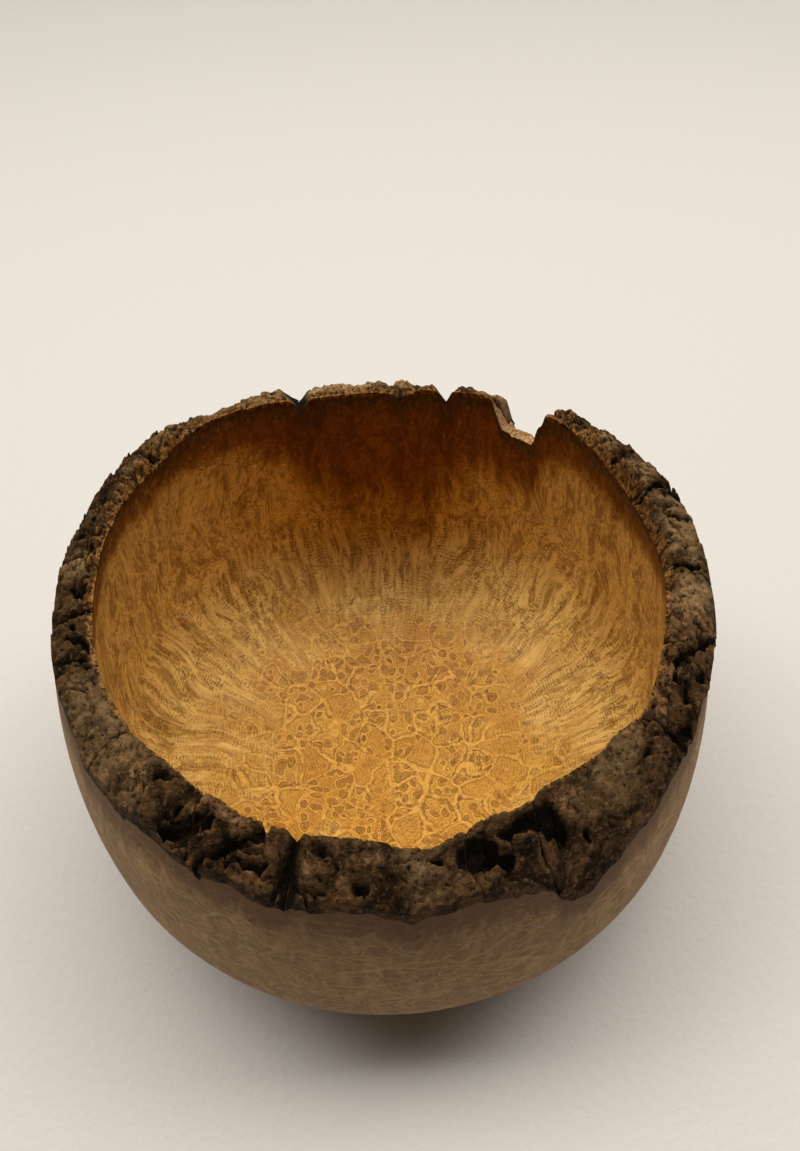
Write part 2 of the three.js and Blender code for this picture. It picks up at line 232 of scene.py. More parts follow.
# Bumps as (size of the largest, number of layers, seed, height)
BUMPS = {
    "sway_along": (6.0, 3, 11, 2.2), "sway_across": (6.0, 3, 17, 2.2),
    "outer_edge": (6.0, 3, 91, 1.8), "uneven": (3.0, 4, 41, 1.1), "furrows": (2.6, 3, 83, 1.6),
    "where_cracked": (7.0, 1, 31, 1), "crumbs": (2.2, 3, 53, 1.5), "grit": (1.1, 1, 47, 0.35),
    "seat": (5.0, 3, 61, 0.8), "tint_edge": (5.0, 2, 71, 0.5),
}

# Lumps of the bark as (length, width, width of the cracks between them in lump sizes, seed)
LARGE_LUMPS = (5.2, 6.5, 0.16, 3)
SMALL_LUMPS = (1.9, 2.2, 0.22, 23)

# Heights in the bark: the dome of a lump, the steps from lump to lump, the cracks between them,
# and the domes and cracks of the small lumps
LUMP_DOME, LUMP_STEP, LUMP_CRACK = 1.3, 1.4, 1.5
SMALL_DOME, SMALL_CRACK = 0.5, 0.8

# How the sides of pits, mounds and crevices run out, in half widths, how slim a crevice is at
# its ends, and how many times its listed half width it is wide at the top
PIT_SIDE, MOUND_SIDE, CREVICE_SIDE = (0.55, 1.25), (0.2, 1.3), (0.3, 1.0)
CREVICE_END, CREVICE_TOP = 0.35, 1.8

# Parts of the sway by which listed pits, small lumps, furrows and clefts are pushed about
PIT_SWAY, SMALL_SWAY, FURROW_SWAY, CLEFT_SWAY = 0.5, 0.6, 0.6, 0.3

# How rough the bark is at least, the share of that at the inner edge, and the part of the width
# over which it comes back
LEAST_ROUGH, EDGE_ROUGH, EDGE_PART = 0.55, 0.3, 0.22

# Clefts: how their sides bend outwards, over what part of the width they end, how high they are
# closed there, and the rounding of their lips
CLEFT_BEND, CLEFT_END, CLEFT_CLOSED, CLEFT_BLEND = 1.2, 0.15, 30, 1.2

# Height over the rim plane that stands for no cut, away from the notch
FAR_ABOVE = 60

# Plates: the width of the fissure between two, how far and over what length it wanders, how far
# they drop beside it and over what distance, and how thick the bark is at least
FISSURE, FISSURE_WANDER, WANDER_LENGTH = 0.22, 1.1, 14
BANK_DROP, BANK_WIDTH, THINNEST_BARK = 1.3, 0.7, 0.25

# The wood under the bark: its depth in bark thicknesses at the inner edge, how far it stays
# under the bark's pits, how much lower it is between the edges of the rim, and from how far
# above the bark the notch counts
SEAT_AT_EDGE, UNDER_PITS, UNDER_BARK, NOTCH_NEAR = 0.45, 0.5, 0.5, 4

# How far stain and darker, redder wood reach down the outer wall, and stain down the inner wall
# where none is listed
OUTSIDE_STAIN, LEAST_STAIN = 10.0, 1.5

# The width of the sloping bark from its inner to its outer edge, and the part of the wall below
# the rim where points lie closer
CRUST_WIDTH, SHOULDER = 12.0, 30

# Spacing of points: degrees round the body, in the notch and in the clefts, and millimetres
# along a plate, and the spans in degrees of the notch and to each side of a cleft
BODY_SPACING, NOTCH_SPACING, CLEFT_SPACING, PLATE_SPACING = 0.55, 0.14, 0.3, 0.3
NOTCH_SPAN, CLEFT_SPAN = (132, 150.5), 4

# Numbers of points: across a plate and the bare rim, up the lower part of the outer and of the
# inner wall, up to the shoulder, and from there to the rim
ACROSS_PLATE, ACROSS_RIM, LOWER_OUTSIDE, LOWER_INSIDE = 46, 24, 22, 20
TO_SHOULDER, TO_RIM = 5, 17

# Radii of the rings in the foot, how wide and how high the bevel round it is, and a hair's breadth
FOOT_RINGS, FOOT_BEVEL, FOOT_RISE, HAIR = (12, 24), 0.8, 0.25, 0.02

# Where figure changes, in millimetres along the inner wall from the middle of the floor with
# about half of DRIFT added, how far noise shifts that, and the radius at which figure on the
# wall has its real width
WALL_FROM, TURN_FROM, TURN_TO, DRIFT, EVEN_RADIUS = (66, 104), (64, 96), (142, 112), 60, 70

# The stage in metres, degrees and watts. The camera stands where the photograph was taken from,
# its lens and sensor are in millimetres, and the room gives a little light from all sides.
CAMERA_PLACE = (0, -0.13164, 0.26855)
LOOKS_DOWN, LOOKS_ASIDE, LEANS = 51.82, 2.18, -2.64
LENS, SENSOR = 28.15, 36
SOFT_BOX_PLACE, SOFT_BOX_WIDTH, SOFT_BOX_DEPTH = (0, 0.21, 1.23), 2.20, 0.49
SOFT_BOX_POWER, SOFT_BOX_COLOUR, ROOM_LIGHT, ROOM_COLOUR = 26.5, "FFFBF5", 0.045, "F1F0F0"
PAPER_REACH = 2.4

# Slopes that the unevenness is made from
GRADIENTS = np.array([
    (1, 1, 0), (-1, 1, 0), (1, -1, 0), (-1, -1, 0), (1, 0, 1), (-1, 0, 1), (1, 0, -1), (-1, 0, -1),
    (0, 1, 1), (0, -1, 1), (0, 1, -1), (0, -1, -1), (1, 1, 0), (-1, 1, 0), (0, -1, 1), (0, -1, -1),
], dtype=float)


# Repeatable unevenness

def shuffled(cells, seed):
    """Whole numbers without order, one for each cell of a grid, the same on every run"""
    mixed = np.full(cells.shape[:-1], seed * 374761393 % 4294967296, dtype=np.uint64)
    for axis, prime in enumerate((73856093, 19349663, 83492791)[:cells.shape[-1]]):
        mixed ^= (cells[..., axis].astype(np.int64) * prime % 4294967296).astype(np.uint64)
        mixed = (mixed ^ (mixed >> np.uint64(15))) * np.uint64(2246822519) % np.uint64(4294967296)
    return mixed ^ (mixed >> np.uint64(13))


def unevenness(points, size, seed):
    """Smooth bumps of about the given size, mostly between -0.7 and 0.7"""
    scaled = points / size
    cell = np.floor(scaled).astype(np.int64)
    part = scaled - cell
    blend = part ** 3 * (part * (part * 6 - 15) + 10)
    total = np.zeros(points.shape[:-1])
    for corner in itertools.product((0, 1), repeat=3):
        offset = np.array(corner)
        slope = GRADIENTS[(shuffled(cell + offset, seed) % np.uint64(16)).astype(int)]
        weight = np.prod(np.where(offset == 1, blend, 1 - blend), axis=-1)
        total += weight * np.sum(slope * (part - offset), axis=-1)
    return total


def bumps(points, key):
    """Bumps with finer layers on them, each half as large and half as strong"""
    size, layers, seed, height = BUMPS[key]
    return height * sum(unevenness(points, size / 2 ** layer, seed + layer) / 2 ** layer
                        for layer in range(layers))


def lumps(form, along, across, kind):
    """Distance to the nearest lump, the cracks round it and a random number for each lump"""
    length, width, crack, seed = kind
    round_length = 2 * math.pi * form.rim_turn
    count = max(round(round_length / length), 1)
    step = round_length / count
    place = np.stack([along / step, across / width], axis=-1)
    cell = np.floor(place).astype(np.int64)
    near = np.full(along.shape, 9.0)
    second = np.full(along.shape, 9.0)
    chance = np.zeros(along.shape)
    for offset in itertools.product((-1, 0, 1), repeat=2):
        other = cell + np.array(offset)
        key = np.stack([other[..., 0] % count, other[..., 1]], axis=-1)
        first = (shuffled(key, seed) % np.uint64(1000)).astype(float) / 1000
        last = (shuffled(key, seed + 7) % np.uint64(1000)).astype(float) / 1000
        reach = np.hypot(*np.moveaxis(other + np.stack([first, last], axis=-1) - place, -1, 0))
        closer = reach < near
        second = np.where(closer, near, np.minimum(second, reach))
        chance = np.where(closer, (first * 7 + last * 3) % 1, chance)
        near = np.where(closer, reach, near)
    return near, 1 - eased(0.0, crack, second - near), chance


def eased(low, high, value):
    """A smooth step of a value between two limits"""
    part = np.clip((value - low) / (high - low), 0, 1)
    return part * part * (3 - 2 * part)


def edge_value(line, angle):
    """A closed line of (angle, value), read at any angle with its corners softened"""
    knots = np.array(line, dtype=float)
    order = np.argsort(knots[:, 0] % 360)
    knots = np.stack([knots[order, 0] % 360, knots[order, 1]], axis=-1)
    offsets = (-1.2, -0.6, 0, 0.6, 1.2)
    return sum(np.interp((angle + offset) % 360, knots[:, 0], knots[:, 1], period=360)
               for offset in offsets) / len(offsets)


def softer_lowest(first, second, blend):
    """The lower of two heights, with the corner between them rounded"""
    part = np.clip(0.5 + (second - first) / (2 * blend), 0, 1)
    return second + (first - second) * part - blend * part * (1 - part)


def turn_between(angle, middle):
    """Degrees from a middle to an angle, the short way round"""
    return (angle - middle + 180) % 360 - 180


# Turned form

class Form:
    """The turned form in millimetres, from the sizes in the scene"""

    def __init__(self, sizes):
        for name in sizes.__annotations__:
            unit = 1 if name in ("belly_fullness", "floor_flatness") else MM
            setattr(self, name, getattr(sizes, name) / unit)
        self.rim_radius = self.mouth_radius + self.rim_width
        self.rim_turn = self.mouth_radius + self.rim_width / 2

    def outer_radius(self, height):
        rise = (height - self.belly_height) / (self.rim_height - self.belly_height)
        drop = np.clip(1 - height / self.belly_height, 0, 1)
        upper = self.belly_radius - (self.belly_radius - self.rim_radius) * rise ** 2
        swell = (1 - drop ** self.belly_fullness) ** (1 / self.belly_fullness)
        lower = self.foot_radius + (self.belly_radius - self.foot_radius) * swell
        return np.where(height > self.belly_height, upper, lower)

    def inner_radius(self, height):
        widest = self.belly_radius - self.belly_wall
        rise = (height - self.belly_height) / (self.rim_height - self.belly_height)
        depth = self.belly_height - self.floor_thickness
        drop = np.clip((self.belly_height - height) / depth, 0, 1)
        upper = widest - (widest - self.mouth_radius) * rise ** 2
        lower = widest * (1 - drop ** self.floor_flatness) ** (1 / self.floor_flatness)
        return np.where(height > self.belly_height, upper, lower)

    def radius_across(self, height, across):
        inner = self.inner_radius(height)
        return inner + (self.outer_radius(height) - inner) * across

    def place(self, angle, across, height):
        """Points on the rim or in the wall"""
        radius = self.radius_across(height, across)
        turn = np.radians(angle)
        return np.stack([radius * np.sin(turn), -radius * np.cos(turn), height], axis=-1)


def notch_top(form, angle, across, crumbs):
    """Height of the broken wood in the notch. Away from it, far above the rim."""
    line = np.array(NOTCH)
    drift = across * form.rim_width * math.tan(math.radians(NOTCH_TURN))
    at = (angle - np.degrees(drift / form.rim_turn)) % 360
    inner = np.interp(at, line[:, 0], line[:, 1], left=FAR_ABOVE, right=FAR_ABOVE)
    fall = np.interp(at, line[:, 0], line[:, 2])
    return form.rim_height + inner - fall * across * CRUST_WIDTH + crumbs


def run_along(form, angle, middle):
    """Millimetres along the rim from a middle to an angle"""
    return np.radians(turn_between(angle, middle)) * form.rim_turn


def cleft_top(form, angle, across, base, wobble):
    """Height that the clefts leave, never above the base"""
    top = base
    for middle, half_width, depth, reach, fall, turn in CLEFTS:
        drift = across * form.rim_width * math.tan(math.radians(turn))
        sideways = run_along(form, angle, middle) - drift
        lip = form.rim_height + edge_value(INNER_EDGE, middle)
        bottom = lip - depth - fall * across * CRUST_WIDTH
        side = depth * (np.abs(sideways + wobble) / half_width) ** CLEFT_BEND
        closed = CLEFT_CLOSED * eased(reach - CLEFT_END, reach + CLEFT_END, across)
        top = softer_lowest(top, bottom + side + closed, CLEFT_BLEND)
    return top


def smooth_top(form, angle, across):
    """The surface of the bark without its lumps and pits"""
    inner = edge_value(INNER_EDGE, angle)
    outer = edge_value(OUTER_EDGE, angle) + form.bark_thickness
    outer = outer + bumps(form.place(angle, 1.0, form.rim_height + outer), "outer_edge")
    rise = edge_value(CROWN, angle) * np.sin(np.pi * across)
    return form.rim_height + inner + (outer - inner) * across + rise


def pits_and_mounds(form, angle, across, sway):
    """How much the listed pits and crevices take off the bark, and the mounds add to it"""
    v = across * CRUST_WIDTH + sway[..., 1]

    def reach_from(middle, place, half_along, half_across):
        u = run_along(form, angle, middle) + sway[..., 0]
        return np.hypot(u / half_along, (v - place * CRUST_WIDTH) / half_across)

    carved = np.zeros(angle.shape)
    for *oval, depth in HOLLOWS:
        carved = np.maximum(carved, depth * (1 - eased(*PIT_SIDE, reach_from(*oval))))
    raised = sum(height * (1 - eased(*MOUND_SIDE, reach_from(*oval))) for *oval, height in MOUNDS)
    for first, first_across, last, last_across, half_width, depth in CREVICES:
        u = run_along(form, angle, first) + sway[..., 0]
        length_u = run_along(form, last, first)
        length_v = (last_across - first_across) * CRUST_WIDTH
        from_v = v - first_across * CRUST_WIDTH
        length = math.hypot(length_u, length_v)
        part = np.clip((u * length_u + from_v * length_v) / length ** 2, 0, 1)
        aside = np.hypot(u - part * length_u, from_v - part * length_v)
        swell = np.sin(np.pi * (0.1 + 0.8 * part))
        slim = half_width * CREVICE_TOP * (CREVICE_END + (1 - CREVICE_END) * swell)
        carved = np.maximum(carved, depth * (1 - eased(*CREVICE_SIDE, aside / slim)))
    return carved, raised


def bark_relief(form, angle, across):
    """Top of the bark with lumps, pits, clefts and notch, and how far each point lies below its
    surroundings, by which the bark's colour is darkened as painted shade
    """
    base = smooth_top(form, angle, across)
    where = form.place(angle, across, base)
    along = np.radians(angle % 360) * form.rim_turn
    over = across * CRUST_WIDTH
    sway = np.stack([bumps(where, "sway_along"), bumps(where, "sway_across")], axis=-1)
    near, crack, chance = lumps(form, along + sway[..., 0], over + sway[..., 1], LARGE_LUMPS)
    small_near, small_crack, _ = lumps(
        form, along + sway[..., 1] * SMALL_SWAY, over + sway[..., 0] * SMALL_SWAY, SMALL_LUMPS)
    cracked = eased(-0.1, 0.35, bumps(where, "where_cracked"))
    carved, raised = pits_and_mounds(form, angle, across, sway * PIT_SWAY)
    relief = (0.5 - near ** 2) * LUMP_DOME + (chance - 0.5) * LUMP_STEP - crack * LUMP_CRACK
    relief += (0.35 - small_near ** 2) * SMALL_DOME - small_crack * cracked * SMALL_CRACK
    relief += bumps(where, "uneven")

    # Furrows run across the bark, so they hardly change with the distance over it
    turn = np.radians(angle) + sway[..., 0] / form.rim_turn * FURROW_SWAY
    furrow_place = np.stack([form.rim_turn * np.sin(turn), -form.rim_turn * np.cos(turn),
                             over * 0.2], axis=-1)
    relief += bumps(furrow_place, "furrows") * edge_value(FURROWED, angle)
    grit = bumps(where, "grit")
    rough = LEAST_ROUGH + (1 - LEAST_ROUGH) * edge_value(ROUGH, angle)
    rough = rough * (EDGE_ROUGH + (1 - EDGE_ROUGH) * eased(0, EDGE_PART, across))
    whole = base + (relief + grit) * rough + raised - carved
    top = cleft_top(form, angle, across, whole, sway[..., 0] * CLEFT_SWAY)
    # Painted shade: how far down a point lies in a pit, crack or cleft, which darkens the bark's
    # colour
    painted_shade_depth = carved + np.maximum(-relief, 0) * 0.6 + (whole - top) * 0.7
    crumbs = bumps(where, "crumbs") + grit
    return np.minimum(top, notch_top(form, angle, across, crumbs)), painted_shade_depth


def wood_top(form, angle, across):
    """Top of the wood under the bark, which no pit in the bark breaks through"""
    top = bark_relief(form, angle, across)[0]
    base = smooth_top(form, angle, across)
    where = form.place(angle, across, base)
    depth = form.bark_thickness * (SEAT_AT_EDGE + (1 - SEAT_AT_EDGE) * across)
    seat = base - depth + bumps(where, "seat")
    bare = np.minimum(seat, top - UNDER_PITS)
    notch = notch_top(form, angle, across, bumps(where, "crumbs") + bumps(where, "grit"))
    return np.where(notch < base + NOTCH_NEAR, np.minimum(bare, notch), bare)


# Meshes

def mesh_object(name, points, quads, triangles, numbers, hard_rows, row_of):
    """An object from points in millimetres. Numbers are attributes of its points, and edges
    that run along a hard row are sharp."""
    corners = np.concatenate([quads.ravel(), triangles.ravel()]).astype(np.int32)
    counts = np.concatenate([np.full(len(quads), 4), np.full(len(triangles), 3)])
    starts = np.concatenate([[0], np.cumsum(counts)[:-1]]).astype(np.int32)
    mesh = bpy.data.meshes.new(name)
    mesh.vertices.add(len(points))
    mesh.vertices.foreach_set("co", (points * MM).astype(np.float32).ravel())
    mesh.loops.add(len(corners))
    mesh.loops.foreach_set("vertex_index", corners)
    mesh.polygons.add(len(counts))
    mesh.polygons.foreach_set("loop_start", starts)
    mesh.update(calc_edges=True)
    mesh.shade_smooth()
    ends = np.empty(2 * len(mesh.edges), dtype=np.int32)
    mesh.edges.foreach_get("vertices", ends)
    rows = row_of[ends.reshape(-1, 2)]
    hard = (rows[:, 0] == rows[:, 1]) & np.isin(rows[:, 0], hard_rows)
    mesh.attributes.new("sharp_edge", "BOOLEAN", "EDGE").data.foreach_set("value", hard)
    for key, values in numbers.items():
        layer = mesh.attributes.new(key, "FLOAT", "POINT")
        layer.data.foreach_set("value", values.astype(np.float32).ravel())
    piece = bpy.data.objects.new(name, mesh)
    bpy.context.collection.objects.link(piece)
    return piece


def grid_quads(index):
    """Quads between the neighbouring rows and columns of a grid of point numbers"""
    return np.stack([index[:-1, :-1], index[:-1, 1:], index[1:, 1:], index[1:, :-1]],
                    axis=-1).reshape(-1, 4)


def body_columns():
    """Angles of the columns of the body, closer together in the notch and the clefts"""
    even = np.arange(0, 360, BODY_SPACING)
    notch = np.arange(*NOTCH_SPAN, NOTCH_SPACING)
    clefts = [np.arange(middle - CLEFT_SPAN, middle + CLEFT_SPAN, CLEFT_SPACING) % 360
              for middle, *rest in CLEFTS]
    return np.unique(np.round(np.concatenate([even, notch, *clefts]), 3))


def wall_heights(form, lowest, top, lower_steps):
    """Heights of the rows of a wall: from its foot to the belly, and on to its top"""
    count = len(top)
    for step in range(lower_steps):
        rise = 1 - math.cos(math.pi / 2 * step / lower_steps)
        yield np.full(count, lowest + (form.belly_height - lowest) * rise)
    shoulder = form.rim_height - SHOULDER
    for height in np.linspace(form.belly_height, shoulder, TO_SHOULDER)[:-1]:
        yield np.full(count, height)
    for part in 1 - np.linspace(1, 0, TO_RIM) ** 1.5:
        yield shoulder + (top - shoulder) * part


def turned_body(form):
    """The turned wood: foot, outer wall, bare rim under the bark, inner wall and floor"""
    angle = body_columns()
    count = len(angle)
    turn = np.radians(angle)
    outer_top = wood_top(form, angle, np.ones(count))
    inner_top = wood_top(form, angle, np.zeros(count))
    rows = []

    def add_row(radius, height, below=0, raw=0, outside=0.0):
        """A row of points with its depth below the edge, broken wood and part of the outside"""
        rows.append([np.broadcast_to(value, count) for value in (
            radius * np.sin(turn), -radius * np.cos(turn), height, below, raw, outside)])

    for radius in (*FOOT_RINGS, form.foot_radius - FOOT_BEVEL):
        add_row(radius, 0, form.rim_height, outside=1.0)
    for height in wall_heights(form, FOOT_RISE, outer_top, LOWER_OUTSIDE):
        add_row(form.outer_radius(height), height, outer_top - height, outside=1.0)
    outer_corner = len(rows) - 1
    for part in np.linspace(1, 0, ACROSS_RIM)[1:-1]:
        lost = smooth_top(form, angle, part) - notch_top(form, angle, part, 0)
        torn = eased(1.0, 2.0, lost)
        height = wood_top(form, angle, np.full(count, part)) - UNDER_BARK * (1 - torn)
        add_row(form.radius_across(height, part), height, 0, torn, part)
    inner_corner = len(rows)
    inner_heights = wall_heights(form, form.floor_thickness + HAIR, inner_top, LOWER_INSIDE)
    for height in reversed([*inner_heights]):
        add_row(form.inner_radius(height), height, inner_top - height)

    # The middle of the foot and the middle of the floor close the form
    rows = np.array(rows)
    places = rows[:, :3].transpose(0, 2, 1)
    points = np.concatenate([*places, [[0, 0, 0], [0, 0, form.floor_thickness]]])
    index = np.arange(count * len(rows)).reshape(-1, count)
    index = np.concatenate([index, index[:, :1]], axis=1)
    fans = np.concatenate([
        np.stack(np.broadcast_arrays(index.max() + 1, index[0, 1:], index[0, :-1]), axis=-1),
        np.stack(np.broadcast_arrays(index.max() + 2, index[-1, :-1], index[-1, 1:]), axis=-1)])

    # Numbers for the material, each with its values at the two middles
    steps = np.linalg.norm(np.diff(places, axis=0), axis=-1)
    steps = np.concatenate([steps, np.hypot(*rows[-1, :2])[None]])
    climb = np.cumsum(steps[::-1], axis=0)[::-1]
    below, raw, outside = rows[:, 3:].transpose(1, 0, 2)
    stain = np.full(count, LEAST_STAIN)
    for middle, half_span, depth in STAINED:
        near = 1 - eased(0.2, 1.1, np.abs(turn_between(angle, middle)) / half_span)
        stain = np.maximum(stain, depth * near)
    # At the back the darker, redder band reaches far down the inner wall as painted shade
    redder_and_shade = edge_value(REDDER_AND_SHADE, angle)
    numbers = {
        "below_edge": (below, [form.rim_height] * 2),
        "raw_wood": (raw, [0, 0]),
        "outside": (outside, [1, 0]),
        "climb": (climb, [climb.max(), 0]),
        "stain_reach": (stain + (OUTSIDE_STAIN - stain) * outside, [1, 1]),
        "soft_edge": (np.tile(edge_value(SOFT_EDGE, angle), len(rows)), [1, 1]),
        "redder_and_shade_reach": (redder_and_shade + (OUTSIDE_STAIN - redder_and_shade) * outside, [1, 1]),
    }
    numbers = {key: np.append(values, ends) for key, (values, ends) in numbers.items()}
    row_of = np.append(np.repeat(np.arange(len(rows)), count), [-1, -2])
    return mesh_object("turned_bowl", points, grid_quads(index), fans, numbers,
                       [outer_corner, inner_corner], row_of)


def bank_angle(form, angle, radius, side):
    """Angle of one bank of a fissure at a radius. In a cleft it keeps to the cleft's run."""
    wander = FISSURE_WANDER * np.sin(2 * np.pi * radius / WANDER_LENGTH + angle)
    for middle, *rest, turn in CLEFTS:
        if abs(turn_between(angle, middle)) < 0.5:
            wander = (radius - form.mouth_radius) * math.tan(math.radians(turn))
    return angle + np.degrees((wander + side * FISSURE / 2) / radius)


def bark_plate(form, name, start, span):
    """One plate of bark, from the fissure at its start to the fissure at its end"""
    steps = max(round(math.radians(span) * form.rim_turn / PLATE_SPACING), 8)
    across = np.linspace(0, 1, ACROSS_PLATE)
    radius = form.mouth_radius + (form.rim_radius - form.mouth_radius) * across
    first = bank_angle(form, start, radius, 1)
    last = bank_angle(form, start + span, radius, -1)
    angle = first + (last - first) * np.linspace(0, 1, steps + 1)[:, None]
    over = np.broadcast_to(across, angle.shape)
    top, painted_shade_depth = bark_relief(form, angle, over)
    seat = wood_top(form, angle, over)
    to_bank = np.minimum(angle - first, last - angle) * math.radians(1) * form.rim_turn
    dropped = BANK_DROP * np.exp(-to_bank / BANK_WIDTH)
    top = np.maximum(top - dropped, seat + THINNEST_BARK)
    skin = form.place(angle, over, top)
    push = edge_value(OVERHANG, angle) * eased(0.3, 1.0, over)
    skin[..., 0] += push * np.sin(np.radians(angle))
    skin[..., 1] -= push * np.cos(np.radians(angle))
    under = form.place(angle, over, seat)
    points = np.concatenate([skin.reshape(-1, 3), under.reshape(-1, 3)])
    index = np.arange(angle.size).reshape(angle.shape)
    beneath = index + angle.size

    def side(place):
        return grid_quads(np.stack([index[place], beneath[place]]))

    quads = np.concatenate([
        grid_quads(index)[:, ::-1], grid_quads(beneath),
        side(np.s_[:, 0])[:, ::-1], side(np.s_[:, -1]), side(0), side(-1)[:, ::-1],
    ])
    numbers = {}
    sway = bumps(skin, "tint_edge")
    for key, patches in (("weathered", WEATHERED), ("reddened", REDDENED)):
        value = np.zeros(angle.shape)
        for middle, place, half_span, half_across, strength in patches:
            reach = np.hypot(turn_between(angle, middle) / half_span, (over - place) / half_across)
            value = np.maximum(value, strength * (1 - eased(0.4, 1.2, reach + sway)))
        numbers[key] = np.tile(value.ravel(), 2)
    # Painted shade: the underside of a plate is darkened as if shade fell there, its ends less
    underside_shade = np.full(angle.shape, 0.6)
    underside_shade[:, [0, -1]] = 0.1
    numbers["painted_shade_depth"] = np.append(np.clip((painted_shade_depth + dropped) / 4, 0, 1), underside_shade)
    numbers["from_edge"] = np.tile((over * CRUST_WIDTH).ravel(), 2)
    numbers["soft_edge"] = np.tile(edge_value(SOFT_EDGE, angle).ravel(), 2)
    row_of = np.zeros(len(points), dtype=int)
    row_of[index[:, 0]] = 1
    row_of[index[:, -1]] = 2
    none = np.empty((0, 3), dtype=int)
    return mesh_object(f"{name}_crust", points, quads, none, numbers, [1, 2], row_of)


# Materials

def linear(hex_colour):
    """An sRGB colour, written as six hexadecimal digits, as linear red, green, blue and alpha"""
    parts = [int(hex_colour[at:at + 2], 16) / 255 for at in (0, 2, 4)]
    return [part / 12.92 if part <= 0.04045 else ((part + 0.055) / 1.055) ** 2.4
            for part in parts] + [1]


def add(tree, kind, *inputs, output=None, **named):
    """Add a shader node and give its first output, or the one that is named. Inputs are numbers,
    colours or outputs of other nodes, in the order of the sockets. Names with a capital are
    inputs too, and the other names are settings."""
    made = tree.nodes.new("ShaderNode" + kind)
    for key, value in named.items():
        if key[0].islower():
            setattr(made, key, value)
    given = list(zip([socket for socket in made.inputs if socket.enabled], inputs))
    given += [(made.inputs[key], value) for key, value in named.items() if key[0].isupper()]
    for socket, value in given:
        if isinstance(value, bpy.types.NodeSocket):
            tree.links.new(value, socket)
        else:
            socket.default_value = value
    if output:
        return made.outputs[output]
    return next((socket for socket in made.outputs if socket.enabled), None)


def new_material(name):
    material = bpy.data.materials.new(name)
    material.use_nodes = True
    material.node_tree.nodes.clear()
    return material, material.node_tree


def in_millimetres(tree):
    place = add(tree, "TexCoord", output="Object")
    return add(tree, "VectorMath", place, 1000.0, operation="SCALE")


def share(tree, pattern, low, high, *others, least=0.0, most=1.0):
    """How much shows at each point, times other shares. It goes smoothly from least, where a
    pattern is low, to most, where it is high. Low may be the larger number."""
    amount = add(tree, "MapRange", pattern, low, high, least, most,
                 interpolation_type="SMOOTHSTEP")
    for other in others:
        amount = add(tree, "Math", amount, other, operation="MULTIPLY")
    return amount


def layered(tree, colour, layers):
    """Tints laid over a colour one after the other, each as (share, tint, strength)"""
    for amount, tint, strength in layers:
        amount = add(tree, "Math", amount, strength, operation="MULTIPLY")
        colour = add(tree, "Mix", amount, colour, tint, data_type="RGBA")
    return colour


def shifted(tree, place, size, reach, detail=1.0, at=None):
    """Coordinates pushed about, up to half the reach each way, by noise of a size"""
    at = place if at is None else at
    push = add(tree, "TexNoise", at, 1 / size, detail, output="Color")
    push = add(tree, "VectorMath", push, (0.5, 0.5, 0.5), operation="SUBTRACT")
    return add(tree, "VectorMath", push, (reach, reach, reach), place, operation="MULTIPLY_ADD")


def cells(tree, place, size, randomness=1.0):
    """Distance to the middle of each cell, and two random numbers for the cell"""
    distance = add(tree, "TexVoronoi", place, 1 / size, Randomness=randomness)
    chance = add(tree, "SeparateColor", distance.node.outputs["Color"])
    return distance, chance, chance.node.outputs["Green"]


def waves(tree, along, steepness, waver, strength):
    """Waves along a value, which noise makes uneven"""
    phase = add(tree, "Math", along, steepness, operation="MULTIPLY")
    phase = add(tree, "Math", waver, strength, phase, operation="MULTIPLY_ADD")
    return add(tree, "Math", phase, operation="SINE")


def border(tree, place, from_edge):
    """Where the wood of the inner wall turns into bark: -1 is wood, 0 the torn edge, 1 bark"""
    ragged = add(tree, "VectorMath", place, (1, 1, 0.45), operation="MULTIPLY")
    ragged = add(tree, "TexNoise", ragged, 1 / 2.0, 4.0, 0.65)
    ragged = add(tree, "Math", ragged, 4.0, -1.6, operation="MULTIPLY_ADD")
    soft_edge = add(tree, "Attribute", attribute_name="soft_edge", output="Fac")
    turned = add(tree, "Math", from_edge, soft_edge, operation="DIVIDE")
    return add(tree, "Math", turned, ragged, operation="ADD")


def torn_edge(tree, place, tones):
    """Wood fibre and inner bark mixed, where the one turns into the other"""
    crumbs = add(tree, "VectorMath", place, (1, 1, 0.4), operation="MULTIPLY")
    crumbs = add(tree, "TexNoise", crumbs, 1 / 1.1, 4.0, 0.7)
    return layered(tree, linear(tones.edge_dark),
                   [(share(tree, crumbs, 0.38, 0.60), linear(tones.edge_light), 1)])


def surfaced(tree, colour, rough, relief, bump_height, bump_strength, mirroring):
    """The surface of a material, with a bump of the given height in metres"""
    bump = add(tree, "Bump", Height=relief, Distance=bump_height, Strength=bump_strength)
    shader = add(tree, "BsdfPrincipled", colour, Roughness=rough, Normal=bump, IOR=1.5,
                 **{"Specular IOR Level": mirroring})
    add(tree, "OutputMaterial", shader)


